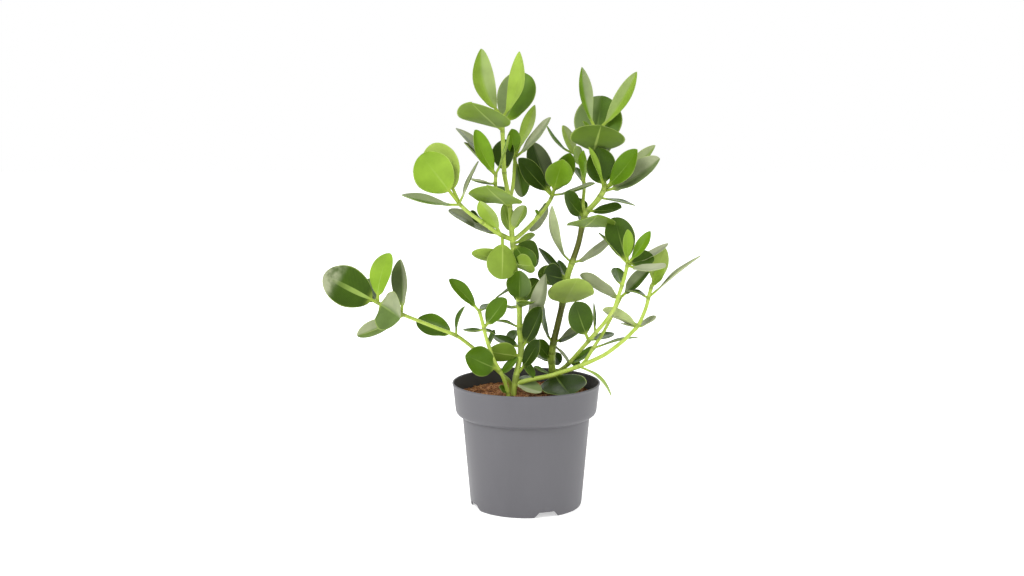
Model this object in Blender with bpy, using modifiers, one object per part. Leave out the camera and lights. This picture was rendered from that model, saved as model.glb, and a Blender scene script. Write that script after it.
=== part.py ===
"""Potted clusia: four leafy stems in soil, in a round plastic nursery pot.

Metres, +Z up. The origin is the middle of the pot's base, on the surface it stands on,
and the front of the plant looks along -Y.
"""
import math
import random

import bmesh
import bpy
from mathutils import Vector

MM = 0.001
SEED = 17
GAP = 0.0003

# Pot
RIM_RADIUS = 0.085
POT_HEIGHT = 0.144
COLLAR_HEIGHT = 0.0325
COLLAR_FOOT_RADIUS = 0.0812
BODY_TOP_RADIUS = 0.0733
BODY_FOOT_RADIUS = 0.0646
SHOULDER = 0.0065
FOOT_BAND = 0.006
LIP_BAND = 0.0035
WALL = 0.0014
FLOOR_RISE = 0.0069
PAD_RADIUS = 0.0298
POT_STEPS = 32

# Notches in the foot ring, and drain holes in the raised floor
NOTCH_COUNT = 4
NOTCH_AZIMUTH = math.radians(-69)
NOTCH_HEIGHT = 0.0066
NOTCH_WIDTH = 0.030
NOTCH_TOP_WIDTH = 0.018
NOTCH_RING = 0.062
NOTCH_DEPTH = 0.020
DRAIN_COUNT = 8
DRAIN_RADIUS = 0.004
DRAIN_RING = 0.047
CUT_SLACK = 0.002

# Soil
SOIL_TOP = 0.1312
SOIL_EDGE = 0.1268
STEM_DEPTH = 0.022
HOLE_SLACK = 0.0005

# Leaves
BLADE = 0.0010
STALK = 0.14
STALK_HALF = 0.0018
BROAD_WIDTH = 24
BROAD_ROWS = (0.0, 0.22, 0.54, 0.86, 1.0)
SLIM_ROWS = (0.0, 0.3, 0.75, 1.0)
TIP_HALF = 0.0012
SLIM_ASPECT, ROUND_ASPECT = 0.25, 0.5
SLIM_SKEW, ROUND_SKEW = 1.2, 1.12
SLIM_BLUNT, ROUND_BLUNT = 0.8, 0.5
FOLD = 16
ARCH = -0.04

# Stems
STEM_STEP = 0.016

# The plant's places are given as an eye in front of it sees them: millimetres across and up
# on the upright plane through the pot's axis, and millimetres behind that plane.
EYE = Vector((-0.0163, -1.690, 0.491))


def seen(across, up, depth):
    """Point that the eye sees at this place, at this depth behind the pot's axis."""
    on_plane = Vector((across * MM, 0.0, up * MM))
    reach = (depth * MM - EYE.y) / -EYE.y
    return EYE + (on_plane - EYE) * reach


def leaf(up, tip, width, turn=None, fold=FOLD, arch=ARCH, bow=0.0, stalk=STALK):
    """A leaf that springs from its stem at height up and ends at tip.

    turn is the angle between the upper face and the eye, towards the stem's end. Without it
    the leaf lies as it grows. fold is in degrees. arch, bow and stalk are shares of the length.
    """
    return {"up": up, "tip": tip, "width": width, "turn": turn, "fold": fold,
            "arch": arch, "bow": bow, "stalk": stalk}


def shoot(girth, route, leaves):
    """A stem or side shoot: its radii at both ends in mm, its route and its leaves."""
    return {"girth": girth, "route": route, "leaves": leaves}


def centre_leader():
    stem = shoot((3.4, 2.3), [
        (-14.5, 127, -18), (-11.5, 150, -17), (-9, 163, -16), (-6, 178, -14),
        (-7.5, 205, -11), (-8, 231, -8), (-11, 260, -5), (-14, 288, -3), (-16, 308, -2),
        (-19, 348, 0), (-22, 366, 1), (-25, 383, 2), (-26, 410, 2), (-27, 432, 2),
        (-26, 448, 0)], [
        leaf(174, (-43, 179, -30), 31, 140, fold=8),
        leaf(177, (-28, 152, -22), 15, 50),
        leaf(181, (17, 230, -36), 28, 30, fold=26, arch=-0.08),
        leaf(184, (-38, 197, 14), 20, 60),
        leaf(150, (15, 192, -32), 22, 35, stalk=0.25),
        leaf(175, (9, 148, -22), 14, 45),
        leaf(147, (6, 150, 12), 9, 60),
        leaf(142, (18, 131.5, -23), 21, 45, stalk=0.08),
        leaf(188, (5, 197, 44), 22, 40),
        leaf(206, (-37, 214, -4), 18, 85, arch=0.05),
        leaf(204, (-24, 190, 22), 15, 30),
        leaf(206, (22, 268, -24), 24, 35, fold=26, bow=0.12),
        leaf(233, (-8, 272, -26), 31, 10),
        leaf(231, (5, 236, -38), 22, 112),
        leaf(231, (-26, 231, 34), 22, 95),
        leaf(233, (2, 258, 52), 32, 20),
        leaf(235, (13.5, 262, 18), 22, 160),
        leaf(255, (-35, 240, 12), 16, 84, arch=0),
        leaf(280, (7.5, 278, -42), 25, 150, stalk=0.02),
        leaf(287, (-62, 292, -18), 22, 135),
        leaf(286, (0, 292, 56), 32, 20),
        leaf(300, (14, 284, 20), 34, 30),
        leaf(303, (8, 274, -14), 25, 25),
        leaf(303, (10, 313, 28), 13, 140),
        leaf(313, (-26, 347, 10), 20, 150),
        leaf(317, (-1.5, 346, -6), 22, 135),
        leaf(347, (-40, 366, 54), 28, 30),
        leaf(345, (-45.5, 368, -62), 62, 124, fold=-4, arch=-0.02),
        leaf(382, (-26, 420, 26), 28, 15),
        leaf(430, (-61, 461, -50), 64, 122, fold=-2, arch=-0.02),
        leaf(434, (-1, 494, 34), 45, 10),
        leaf(445, (-51, 521, -12), 31, 12, fold=38, bow=-0.12),
        leaf(446, (-8, 518, -6), 25, 42, bow=0.09, stalk=0.06),
    ])
    left_branch = shoot((2.6, 2.0), [
        (-16, 307, -2), (-31, 314, -9), (-50, 327, -20), (-65, 338, -29), (-77, 349, -37)], [
        leaf(312, (-28, 262, -34), 36, 168, arch=-0.06, stalk=0.22),
        leaf(327, (-63, 338, 6), 14, 45),
        leaf(311, (-88, 341, -4), 30, -60),
        leaf(313, (-53, 351, -38), 21, 30),
        leaf(348, (-119, 403, -30), 48, 15, stalk=0.26),
        leaf(347, (-141, 358, -54), 24, 66),
        leaf(348, (-54, 396, -22), 18, 80, arch=-0.01),
        leaf(347, (-107, 415, -18), 44, 12, stalk=0.26),
    ])
    right_branch = shoot((2.6, 2.0), [
        (-15, 307, -2), (-8, 312, 6), (3, 322, 16), (14, 334, 26), (24, 347, 36), (30, 359, 43)], [
        leaf(354, (4, 317, 34), 23, -56),
        leaf(335, (10, 341, 22), 5, 40),
        leaf(357, (-9, 399, 12), 25, 20),
        leaf(357, (6, 417, 62), 30, 20),
        leaf(357, (41, 398, 10), 33, 10, stalk=0.2),
        leaf(356, (49, 405, 22), 27, 20),
        leaf(358, (77, 371, 6), 22, 80, arch=-0.03),
    ])
    twig = shoot((2.3, 1.9), [
        (-19.5, 350, 0), (-28, 354, -10), (-34, 362, -18), (-35, 372, -23), (-34.5, 383, -24)], [
        leaf(371, (-62, 375, -42), 16, 80),
        leaf(381, (-58, 431, -30), 25, 35, fold=22, bow=-0.06, stalk=0.08),
        leaf(382, (-19, 425, -38), 18, 86),
        leaf(381, (-79, 433, -2), 26, 66, arch=0.05),
        leaf(380, (-70, 417, -16), 20, 76, arch=0),
    ])
    inner_twig = shoot((2.2, 1.9), [
        (-19.5, 350, 0), (-16, 364, 10), (-14, 382, 19), (-13, 402, 24)], [
        leaf(399, (-4, 356, 36), 24, 30, arch=0.02),
        leaf(400, (27, 445, 14), 24, 62, arch=-0.05),
        leaf(400, (-17, 432, 6), 20, 30),
        leaf(401, (9.5, 459, 30), 16, 25),
    ])
    arching_shoot = shoot((2.7, 2.0), [
        (-11, 141, -17), (0, 144.5, -19), (10, 146.8, -21), (20, 148.6, -22),
        (30, 151, -24), (40, 154.3, -26), (50, 157.6, -29), (61, 161.5, -32), (76, 168, -34),
        (90, 175, -34), (101, 183, -33), (112, 192, -30), (122, 202, -26), (128, 209, -24),
        (133, 220, -22), (137, 231, -19), (139, 240, -18), (143, 256, -16)], [
        leaf(161, (98, 126, -36), 14, 72, fold=8, arch=0.13),
        leaf(208, (87, 227, -10), 22, 125, arch=0, stalk=0.05),
        leaf(208, (111, 211, -2), 20, 78),
        leaf(207, (147, 220, -8), 18, 68, arch=-0.08),
        leaf(240, (112, 248, -4), 18, 80, arch=0.1),
        leaf(241, (198, 289, -12), 18, 80, arch=0.01),
        leaf(254, (157, 298, 8), 25, 160),
        leaf(252, (156, 276, -16), 16, 40),
    ])
    climber = shoot((2.0, 1.8), [
        (62, 161.5, -32), (68, 168, -27), (74, 178, -20), (80, 188, -13), (86, 197, -6),
        (92, 208, 1), (98, 220, 8), (103, 231, 14), (108, 243, 18)], [
        leaf(182, (128, 195, 8), 12, 82, arch=0.03),
        leaf(241, (141, 274, 6), 22, 38, fold=28, arch=-0.02),
        leaf(240, (61, 267, 34), 28, 122, arch=-0.06, stalk=0.06),
    ])
    return [stem, left_branch, right_branch, twig, inner_twig, arching_shoot, climber]


def slim_left():
    return [shoot((2.3, 1.9), [
        (-20.5, 126, -27), (-23, 138, -29), (-27, 150, -32), (-32.5, 160, -35),
        (-38.5, 172, -38), (-42.5, 184, -41), (-46, 195, -44), (-48.5, 206, -47), (-51, 216, -49),
        (-54, 227, -51)], [
        leaf(131, (-31, 137, -34), 11, 50),
        leaf(157, (-69.5, 174.5, -62), 35, 12),
        leaf(186, (-37, 204, -20), 10, 50),
        leaf(206, (-23, 240, -44), 25, 25, fold=22),
        leaf(205, (-72, 204, -36), 15, 78, arch=-0.1),
        leaf(205, (-36, 200, -26), 12, 78),
        leaf(225, (-88, 262, -54), 21, 45, arch=0.01),
        leaf(226, (-42, 234, -24), 12, 50),
    ])]


def far_left():
    return [shoot((2.3, 1.9), [
        (-17.5, 131, -4), (-19, 143, -9), (-27, 151, -13), (-40, 163, -17), (-53, 176, -21),
        (-66, 187, -25), (-80, 197, -30), (-100, 205, -36), (-120, 213, -42), (-140, 221, -47),
        (-158, 229, -51), (-173, 237, -54)], [
        leaf(199, (-124.5, 215.5, -14), 28, 20, stalk=0.07),
        leaf(197, (-70, 231, -36), 12, 66, arch=0.08),
        leaf(222, (-143, 285, -34), 26, 42, fold=28),
        leaf(221, (-193.5, 197, -66), 24, 140, arch=0, bow=0.05),
        leaf(236, (-230.5, 267, -62), 47, 14, stalk=0.08),
        leaf(235, (-155, 292, -50), 27, 22, bow=-0.08),
        leaf(234, (-144, 217, -84), 48, 15, stalk=0.04),
        leaf(235, (-184, 258, 2), 26),
    ])]


def right_leader():
    stem = shoot((4.2, 2.6), [
        (28, 136, 32), (30, 152, 30), (29, 170, 27), (31, 188, 24), (36, 210, 22),
        (41, 233, 20), (46, 262, 18), (51.5, 280, 17), (59, 303, 17), (63.5, 325, 17),
        (67, 337, 18), (75, 346, 19), (83, 356, 20), (88, 367, 21), (84.5, 381, 23),
        (79, 394, 25), (73, 408, 26), (74, 418, 27), (79, 430, 28)], [
        leaf(155, (52, 127.5, -28), 55, 28, fold=13),
        leaf(152, (9, 160, 14), 14, 70),
        leaf(168, (11, 191, 14), 20, 30),
        leaf(166, (12, 184, 64), 24, 30),
        leaf(178, (39, 165, 44), 15, 20),
        leaf(187, (47, 167, 4), 16, 80, arch=0.03),
        leaf(188, (18, 233, 6), 22, 74, arch=-0.1),
        leaf(190, (66, 206, 2), 26, 62, arch=-0.07),
        leaf(234, (58, 263, -30), 53, 150, fold=-8, arch=-0.02, stalk=0.06),
        leaf(238, (52, 252, 62), 34, 30),
        leaf(262, (20, 268, -12), 30, 22),
        leaf(260, (13, 270, 22), 26, 160),
        leaf(262, (37, 284, 48), 12, 30),
        leaf(262, (14, 298, 36), 18, 60, arch=-0.03),
        leaf(281, (29, 346, -10), 20, 122, arch=-0.14),
        leaf(281, (98, 308, -8), 28, 66, arch=-0.08),
        leaf(321, (80, 335, -34), 57, 127, fold=-4, arch=-0.02),
        leaf(326, (72, 330, 66), 36, 30),
        leaf(332, (43, 360, -6), 26, 42),
        leaf(334, (54, 354, 34), 22, 30),
        leaf(340, (107.5, 344, -8), 20, 50),
        leaf(355, (123, 346, 26), 16, 80, arch=0.01),
        leaf(364, (80, 411, 4), 36, 10),
        leaf(364, (103, 420, 36), 14, 78, arch=0.13),
        leaf(365, (124.5, 409, -16), 27, 25, arch=-0.01, bow=0.04),
        leaf(364, (144.5, 414, 34), 27, 128, arch=-0.07),
        leaf(362, (150, 399, -8), 34, 40, fold=30, arch=-0.06, bow=0.05),
        leaf(404, (83.5, 436, -30), 62, 168, fold=-6, arch=-0.02),
        leaf(403, (84, 469, 52), 56, 6, fold=4, stalk=0.1),
        leaf(406, (88, 432, 68), 40, 40),
        leaf(429, (61.5, 501, 20), 22, 26, fold=38, arch=-0.15),
        leaf(429, (123, 495.5, 24), 23, 22, fold=34, arch=-0.17),
        leaf(426, (63, 441, 14), 6, 40),
    ])
    branch = shoot((2.5, 2.0), [
        (30, 153, 29), (39, 157, 21), (48, 164, 11), (62, 180, -2), (73, 193, -11),
        (80, 201, -16), (90, 213, -21), (100, 228, -26), (104, 240, -29), (108, 252, -31),
        (112, 266, -33), (115, 280, -34)], [
        leaf(164, (79.5, 183, -1), 20, 60),
        leaf(166, (62, 163.5, 10), 12, 40),
        leaf(191, (55.5, 236, -36), 31, 15, stalk=0.16),
        leaf(192, (100, 200, 24), 16, 55),
        leaf(200, (77, 235, 12), 12, 80, arch=-0.02),
        leaf(254, (102, 275, 2), 18, 30),
        leaf(279, (100, 332.5, -4), 35, 15),
        leaf(281, (82, 315, -18), 12, 75, arch=0),
        leaf(280, (114.5, 319, -48), 15, 30),
        leaf(280, (140.5, 317, -32), 16, 35, bow=0.03),
        leaf(279, (144, 288, -20), 24, 32),
        leaf(278, (158, 276, -60), 26, 68, arch=-0.07),
        leaf(279, (161, 303, 2), 18, 62, arch=-0.08),
    ])
    side_shoot = shoot((2.1, 1.8), [
        (66, 336, 18), (64, 349, 30), (65, 368, 42), (62, 388, 50), (57, 405, 56)], [
        leaf(371, (64, 408, 28), 16, 48),
        leaf(372, (56, 389, 70), 12, 40),
        leaf(390, (54, 412, 34), 18, 45),
        leaf(396, (40.5, 436, 46), 18, 42, arch=-0.06),
        leaf(403, (22, 437, 48), 13, 72, arch=-0.12, stalk=0.25),
    ])
    young_shoot = shoot((1.9, 1.7), [(88, 362, 20), (88, 369, 13)], [
        leaf(368, (70, 412, -9), 10, 40, fold=30, arch=-0.02),
    ])
    return [stem, branch, side_shoot, young_shoot]


PLANT = {
    "stem_centre": centre_leader(),
    "stem_slim_left": slim_left(),
    "stem_far_left": far_left(),
    "stem_right": right_leader(),
}


def material(name, colour, roughness):
    finish = bpy.data.materials.new(name)
    finish.use_nodes = True
    surface = finish.node_tree.nodes["Principled BSDF"]
    surface.inputs["Base Color"].default_value = (*colour, 1.0)
    surface.inputs["Roughness"].default_value = roughness
    finish.diffuse_color = (*colour, 1.0)
    return finish


def add_object(name, mesh, collection):
    thing = bpy.data.objects.new(name, mesh)
    collection.objects.link(thing)
    return thing


def turned(name, profile, steps, collection):
    """Round solid from a profile of radius and height that starts and ends on the axis."""
    mesh = bpy.data.meshes.new(name)
    points = [(radius, 0.0, height) for radius, height in profile]
    mesh.from_pydata(points, [(i, i + 1) for i in range(len(points) - 1)], [])
    thing = add_object(name, mesh, collection)
    screw = thing.modifiers.new("Turn", "SCREW")
    screw.steps = screw.render_steps = steps
    screw.use_merge_vertices = True
    screw.merge_threshold = 0.00005
    screw.use_smooth_shade = True
    return thing


def cut(thing, cutter):
    cutter.hide_render = True
    cutter.display_type = "WIRE"
    boolean = thing.modifiers.new("Cut " + cutter.name, "BOOLEAN")
    boolean.operation = "DIFFERENCE"
    boolean.object = cutter


def smooth(thing, angle=math.radians(35)):
    thing.data.shade_smooth()
    thing.data.set_sharp_from_angle(angle=angle)


def bake(thing):
    """Apply the modifiers by giving the object its evaluated mesh."""
    graph = bpy.context.evaluated_depsgraph_get()
    mesh = bpy.data.meshes.new_from_object(thing.evaluated_get(graph))
    thing.modifiers.clear()
    thing.data = mesh


def body_radius(height):
    """Outer radius of the tapered body."""
    top = POT_HEIGHT - COLLAR_HEIGHT - SHOULDER
    share = (height - FOOT_BAND) / (top - FOOT_BAND)
    return BODY_FOOT_RADIUS + (BODY_TOP_RADIUS - BODY_FOOT_RADIUS) * share


def collar_radius(height):
    """Outer radius of the rim band."""
    foot = POT_HEIGHT - COLLAR_HEIGHT
    share = (height - foot) / (COLLAR_HEIGHT - LIP_BAND)
    return COLLAR_FOOT_RADIUS + (RIM_RADIUS - 0.0009 - COLLAR_FOOT_RADIUS) * share


def inner_wall():
    """Profile of the inside, from the wall's foot up to just under the lip."""
    foot = POT_HEIGHT - COLLAR_HEIGHT
    low = FLOOR_RISE + WALL
    return [
        (body_radius(low) - WALL, low),
        (body_radius(foot - 0.0075) - WALL, foot - 0.0075),
        (COLLAR_FOOT_RADIUS - 0.0060, foot - 0.0035),
        (COLLAR_FOOT_RADIUS - 0.0024, foot - 0.0008),
        (COLLAR_FOOT_RADIUS - WALL, foot + 0.0028),
        (collar_radius(POT_HEIGHT - LIP_BAND) - WALL, POT_HEIGHT - LIP_BAND),
    ]


def pot_profile():
    foot = POT_HEIGHT - COLLAR_HEIGHT
    floor = [(0.0, WALL), (PAD_RADIUS - 0.001, WALL), (PAD_RADIUS + 0.0035, FLOOR_RISE + WALL)]
    lip = [
        (RIM_RADIUS - 0.0021, POT_HEIGHT - 0.0008),
        (RIM_RADIUS - 0.0011, POT_HEIGHT),
        (RIM_RADIUS - 0.0002, POT_HEIGHT - 0.0006),
        (RIM_RADIUS, POT_HEIGHT - 0.0018),
        (collar_radius(POT_HEIGHT - LIP_BAND), POT_HEIGHT - 0.0032),
    ]
    outside = [
        (COLLAR_FOOT_RADIUS, foot + 0.0012),
        (COLLAR_FOOT_RADIUS - 0.0006, foot - 0.0018),
        (COLLAR_FOOT_RADIUS - 0.0024, foot - 0.0042),
        (COLLAR_FOOT_RADIUS - 0.0054, foot - 0.0058),
        (body_radius(foot - 0.0068) + 0.0004, foot - 0.0066),
        (body_radius(foot - 0.0082), foot - 0.0082),
        (body_radius(FOOT_BAND), FOOT_BAND),
        (body_radius(0.0026) - 0.0002, 0.0026),
        (body_radius(0.0) - 0.0008, 0.0007),
        (body_radius(0.0) - 0.0018, 0.0),
    ]
    underside = [
        (body_radius(0.0) - 0.0028, 0.0),
        (body_radius(FLOOR_RISE) - WALL, FLOOR_RISE),
        (PAD_RADIUS + 0.0044, FLOOR_RISE),
        (PAD_RADIUS, 0.0),
        (0.0, 0.0),
    ]
    return floor + inner_wall() + lip + outside + underside


def notch_cutter(name, azimuth, collection):
    """Trapezoid block across the foot ring, wide at the bottom."""
    mesh = bpy.data.meshes.new(name)
    shape = bmesh.new()
    bmesh.ops.create_cube(shape, size=1.0)
    slope = (NOTCH_TOP_WIDTH - NOTCH_WIDTH) / NOTCH_HEIGHT
    for vert in shape.verts:
        high = NOTCH_HEIGHT if vert.co.z > 0 else -CUT_SLACK
        width = NOTCH_WIDTH + slope * high
        vert.co = Vector((NOTCH_RING + NOTCH_DEPTH * vert.co.x, width * vert.co.y, high))
    shape.to_mesh(mesh)
    shape.free()
    cutter = add_object(name, mesh, collection)
    cutter.rotation_euler.z = azimuth
    return cutter


def rod_cutter(name, radius, low, high, place, collection):
    """Upright cylinder between two heights."""
    mesh = bpy.data.meshes.new(name)
    shape = bmesh.new()
    bmesh.ops.create_cone(shape, cap_ends=True, segments=12, radius1=radius, radius2=radius,
                          depth=high - low)
    shape.to_mesh(mesh)
    shape.free()
    cutter = add_object(name, mesh, collection)
    cutter.location = (place.x, place.y, (low + high) / 2)
    return cutter


def make_pot(parts, cutters):
    pot = turned("pot", pot_profile(), POT_STEPS, parts)
    for i in range(NOTCH_COUNT):
        azimuth = NOTCH_AZIMUTH + i * math.tau / NOTCH_COUNT
        cut(pot, notch_cutter(f"foot_notch_{i + 1}", azimuth, cutters))
    for i in range(DRAIN_COUNT):
        azimuth = NOTCH_AZIMUTH + i * math.tau / DRAIN_COUNT
        place = Vector((math.cos(azimuth), math.sin(azimuth))) * DRAIN_RING
        low = FLOOR_RISE - CUT_SLACK
        high = FLOOR_RISE + WALL + CUT_SLACK
        cut(pot, rod_cutter(f"drain_{i + 1}", DRAIN_RADIUS, low, high, place, cutters))
    pot.data.materials.append(material("grey_plastic", (0.195, 0.19, 0.21), 0.5))
    return pot


def soil_profile():
    """Root ball that follows the pot's inside and ends in a low mound."""
    low = WALL + GAP
    high = FLOOR_RISE + WALL + GAP
    foot = [(PAD_RADIUS - 0.0012, low), (0.0, low)]
    ledge = [(PAD_RADIUS + 0.0034, high)]
    wall = [(radius - GAP, height + GAP) for radius, height in inner_wall()[:-1]]
    last_radius, last_height = wall[-1]
    edge = last_radius + (SOIL_EDGE - last_height) * 0.12
    side = [(edge, SOIL_EDGE)] + wall[::-1] + ledge + foot
    mound = [(0.0, SOIL_TOP), (0.030, SOIL_TOP - 0.0005), (0.058, SOIL_TOP - 0.0022),
             (0.074, SOIL_EDGE + 0.0008)]
    return mound + side


def make_soil(parts, cutters):
    soil = turned("soil", soil_profile(), POT_STEPS, parts)
    for name, shoots in PLANT.items():
        girth = shoots[0]["girth"][0] * MM
        place = seen(*shoots[0]["route"][0])
        low = SOIL_TOP - STEM_DEPTH - GAP
        hole = rod_cutter(name + "_hole", girth + HOLE_SLACK, low, SOIL_TOP + 0.01, place, cutters)
        cut(soil, hole)
    soil.data.materials.append(material("coco_peat", (0.13, 0.062, 0.03), 0.95))
    return soil


def spline(points, step):
    """Even walk along a smooth curve through the points."""
    ends = [points[0] * 2 - points[1]] + points + [points[-1] * 2 - points[-2]]
    walk = []
    for a, b, c, d in zip(ends, ends[1:], ends[2:], ends[3:]):
        parts = max(1, round((c - b).length / step))
        for i in range(parts):
            t = i / parts
            bend = (b * 2 + (c - a) * t + (a * 2 - b * 5 + c * 4 - d) * t ** 2
                    + (b * 3 - a - c * 3 + d) * t ** 3)
            walk.append(bend * 0.5)
    return walk + [points[-1]]


def stem_path(one, planted):
    points = [seen(*place) for place in one["route"]]
    if not planted:
        return spline(points, STEM_STEP)
    root = points[0].copy()
    root.z = SOIL_TOP - STEM_DEPTH
    collar = points[0].copy()
    collar.z = SOIL_TOP - 0.001
    points[0].z = SOIL_TOP + 0.001
    return [root, collar] + spline(points, STEM_STEP)


def make_tube(name, one, path, collection):
    """Stem as a round tube that narrows from its foot to its end."""
    curve = bpy.data.curves.new(name, "CURVE")
    curve.dimensions = "3D"
    curve.bevel_depth = 1.0
    curve.bevel_resolution = 1
    curve.resolution_u = 1
    curve.render_resolution_u = 0
    curve.use_fill_caps = True
    line = curve.splines.new("POLY")
    line.points.add(len(path) - 1)
    thick, thin = one["girth"]
    for i, (point, place) in enumerate(zip(line.points, path)):
        point.co = (*place, 1.0)
        point.radius = (thick + (thin - thick) * i / (len(path) - 1)) * MM
    guide = add_object(name + "_curve", curve, collection)
    graph = bpy.context.evaluated_depsgraph_get()
    mesh = bpy.data.meshes.new_from_object(guide.evaluated_get(graph))
    shape = bmesh.new()
    shape.from_mesh(mesh)
    bmesh.ops.remove_doubles(shape, verts=shape.verts, dist=0.00005)
    shape.to_mesh(mesh)
    shape.free()
    mesh.name = name
    tube = add_object(name, mesh, collection)
    tube.matrix_world = guide.matrix_world
    bpy.data.objects.remove(guide)
    return tube


def node_at(path, up):
    """Point of the stem that the eye sees at this height, and the way the stem grows there."""
    def height(point):
        return (EYE.z + (point.z - EYE.z) * -EYE.y / (point.y - EYE.y)) / MM
    for low, high in zip(path, path[1:]):
        a, b = height(low), height(high)
        if a <= up <= b:
            share = (up - a) / (b - a)
            return low.lerp(high, share), (high - low).normalized()
    return path[-1], (path[-1] - path[-2]).normalized()


def upper_face(base, tip, grow, turn):
    """Direction that the leaf's upper face looks in."""
    axis = (tip - base).normalized()
    if turn is None:
        return (grow - axis * grow.dot(axis)).normalized()
    to_eye = EYE - base
    to_eye = (to_eye - axis * to_eye.dot(axis)).normalized()
    across = axis.cross(to_eye)
    if across.dot(grow) < 0:
        across.negate()
    angle = math.radians(turn)
    return to_eye * math.cos(angle) + across * math.sin(angle)


def half_width(form, share):
    """Half the leaf's width at this share of its length. Wide blades end rounder."""
    blade = (share - form["stalk"]) / (1 - form["stalk"])
    if blade <= 0:
        return STALK_HALF
    roundness = (form["width"] / form["length"] - SLIM_ASPECT) / (ROUND_ASPECT - SLIM_ASPECT)
    roundness = min(1.0, max(0.0, roundness))
    skew = SLIM_SKEW + (ROUND_SKEW - SLIM_SKEW) * roundness
    blunt = SLIM_BLUNT + (ROUND_BLUNT - SLIM_BLUNT) * roundness
    bulge = max(0.0, math.sin(math.pi * min(blade, 1.0) ** skew)) ** blunt
    least = TIP_HALF if blade > 0.5 else STALK_HALF
    return max(form["width"] / 2 * bulge, least)


def leaf_form(row, base, grow, wobble):
    """The leaf's own directions and bends, in metres and radians."""
    tip = seen(*row["tip"])
    length = (tip - base).length
    axis = (tip - base) / length
    face = upper_face(base, tip, grow, row["turn"])
    return {
        "base": base, "length": length, "axis": axis, "face": face, "side": axis.cross(face),
        "width": row["width"] * MM, "stalk": row["stalk"], "bow": row["bow"] * length,
        "fold": math.radians(row["fold"] + wobble.uniform(-4, 4)),
        "arch": (row["arch"] + wobble.uniform(-0.015, 0.02)) * length,
    }


def leaf_point(form, share, across):
    """Point of the blade at this share of its length, from -1 at one edge to 1 at the other."""
    half = half_width(form, share)
    lift = 4 * share * (1 - share)
    middle = form["base"] + form["axis"] * form["length"] * share
    middle += form["face"] * form["arch"] * lift + form["side"] * form["bow"] * lift
    edge = form["side"] * half * math.cos(form["fold"]) * across
    return middle + edge + form["face"] * half * math.sin(form["fold"]) * abs(across) ** 1.4


def make_leaf(name, row, base, grow, wobble, collection):
    """Thick paddle-shaped blade with a short stalk: a folded, arched sheet given a thickness."""
    form = leaf_form(row, base, grow, wobble)
    blade_rows = BROAD_ROWS if row["width"] > BROAD_WIDTH else SLIM_ROWS
    shares = [0.0] + [form["stalk"] + (1 - form["stalk"]) * t for t in blade_rows]
    sheet = bmesh.new()
    rows = []
    for share in shares:
        rows.append([sheet.verts.new(leaf_point(form, share, t)) for t in (-1, 0, 1)])
    for near, far in zip(rows, rows[1:]):
        for i in (0, 1):
            sheet.faces.new((near[i], far[i], far[i + 1], near[i + 1]))
    bmesh.ops.triangulate(sheet, faces=sheet.faces)
    sheet.normal_update()
    mesh = bpy.data.meshes.new(name)
    sheet.to_mesh(mesh)
    sheet.free()
    blade = add_object(name, mesh, collection)
    thick = blade.modifiers.new("Thickness", "SOLIDIFY")
    thick.thickness = BLADE
    thick.offset = 0.0
    bake(blade)
    return blade


def make_leafy_stem(name, shoots, finish, parts, wobble):
    """One planted stem with its side shoots and all its leaves, fused into one body."""
    loose = bpy.data.collections.new(name + "_pieces")
    bpy.context.scene.collection.children.link(loose)
    body = None
    for i, one in enumerate(shoots):
        path = stem_path(one, i == 0)
        where = parts if i == 0 else loose
        tube = make_tube(name if i == 0 else f"{name}_shoot_{i}", one, path, where)
        body = body or tube
        for j, row in enumerate(one["leaves"]):
            base, grow = node_at(path, row["up"])
            make_leaf(f"{name}_leaf_{i}_{j}", row, base, grow, wobble, loose)
    union = body.modifiers.new("Fuse", "BOOLEAN")
    union.operation = "UNION"
    union.operand_type = "COLLECTION"
    union.collection = loose
    bake(body)
    for piece in list(loose.objects):
        bpy.data.objects.remove(piece)
    bpy.data.collections.remove(loose)
    smooth(body)
    body.data.materials.clear()
    body.data.materials.append(finish)
    return body


def main():
    for thing in list(bpy.data.objects):
        bpy.data.objects.remove(thing)
    parts = bpy.data.collections.new("potted_clusia")
    cutters = bpy.data.collections.new("cutters")
    bpy.context.scene.collection.children.link(parts)
    bpy.context.scene.collection.children.link(cutters)
    make_pot(parts, cutters)
    make_soil(parts, cutters)
    wobble = random.Random(SEED)
    green = material("clusia_green", (0.12, 0.24, 0.035), 0.4)
    for name, shoots in PLANT.items():
        make_leafy_stem(name, shoots, green, parts, wobble)


main()
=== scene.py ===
"""Potted clusia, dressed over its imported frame: four leafy stems in coco peat, in a grey pot.

Metres, +Z up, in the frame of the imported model.
"""
import math
import random

import bmesh
import bpy
import numpy as np
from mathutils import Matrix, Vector, noise


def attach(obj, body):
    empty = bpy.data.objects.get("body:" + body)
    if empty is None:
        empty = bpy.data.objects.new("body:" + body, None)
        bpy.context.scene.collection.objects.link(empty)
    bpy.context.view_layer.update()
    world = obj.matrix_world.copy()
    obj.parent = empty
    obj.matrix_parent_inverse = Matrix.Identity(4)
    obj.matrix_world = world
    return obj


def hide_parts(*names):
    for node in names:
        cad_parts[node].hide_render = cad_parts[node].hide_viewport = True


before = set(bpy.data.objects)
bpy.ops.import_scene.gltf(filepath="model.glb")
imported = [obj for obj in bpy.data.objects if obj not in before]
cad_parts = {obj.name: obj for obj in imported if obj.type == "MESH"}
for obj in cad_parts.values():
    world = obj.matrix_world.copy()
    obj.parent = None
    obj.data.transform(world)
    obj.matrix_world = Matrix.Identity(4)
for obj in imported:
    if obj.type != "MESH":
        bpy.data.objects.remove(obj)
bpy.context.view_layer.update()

MM = 0.001

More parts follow.
